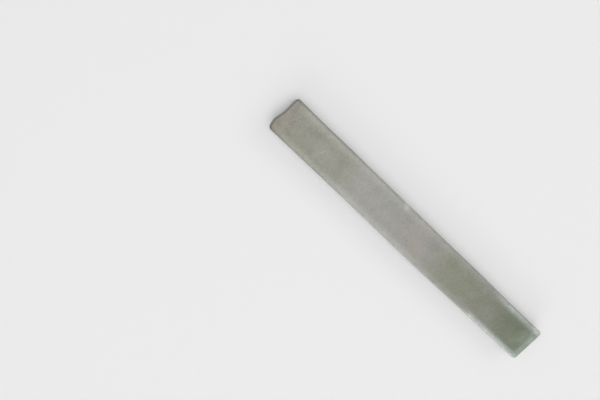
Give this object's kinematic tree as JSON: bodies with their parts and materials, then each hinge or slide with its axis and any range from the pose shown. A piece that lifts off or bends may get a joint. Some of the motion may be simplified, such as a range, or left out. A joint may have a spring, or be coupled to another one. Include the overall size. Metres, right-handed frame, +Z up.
{
  "type": "solder bar",
  "caption": "Cast bar of soft solder with a tapered section, drafted sides and ends, rounded edges and a slightly sunken free face, for feeding a solder pot.",
  "frame": {"origin": "middle of the narrow mould face that the bar lies on", "axes": "+X along the bar, +Y across it, +Z up towards the wide free face of the casting"},
  "size_m": [0.29, 0.033, 0.0135],
  "materials": {
    "cast_solder": "matte"
  },
  "bodies": {
    "root": {"solder_bar": "cast_solder"}
  },
  "joints": []
}
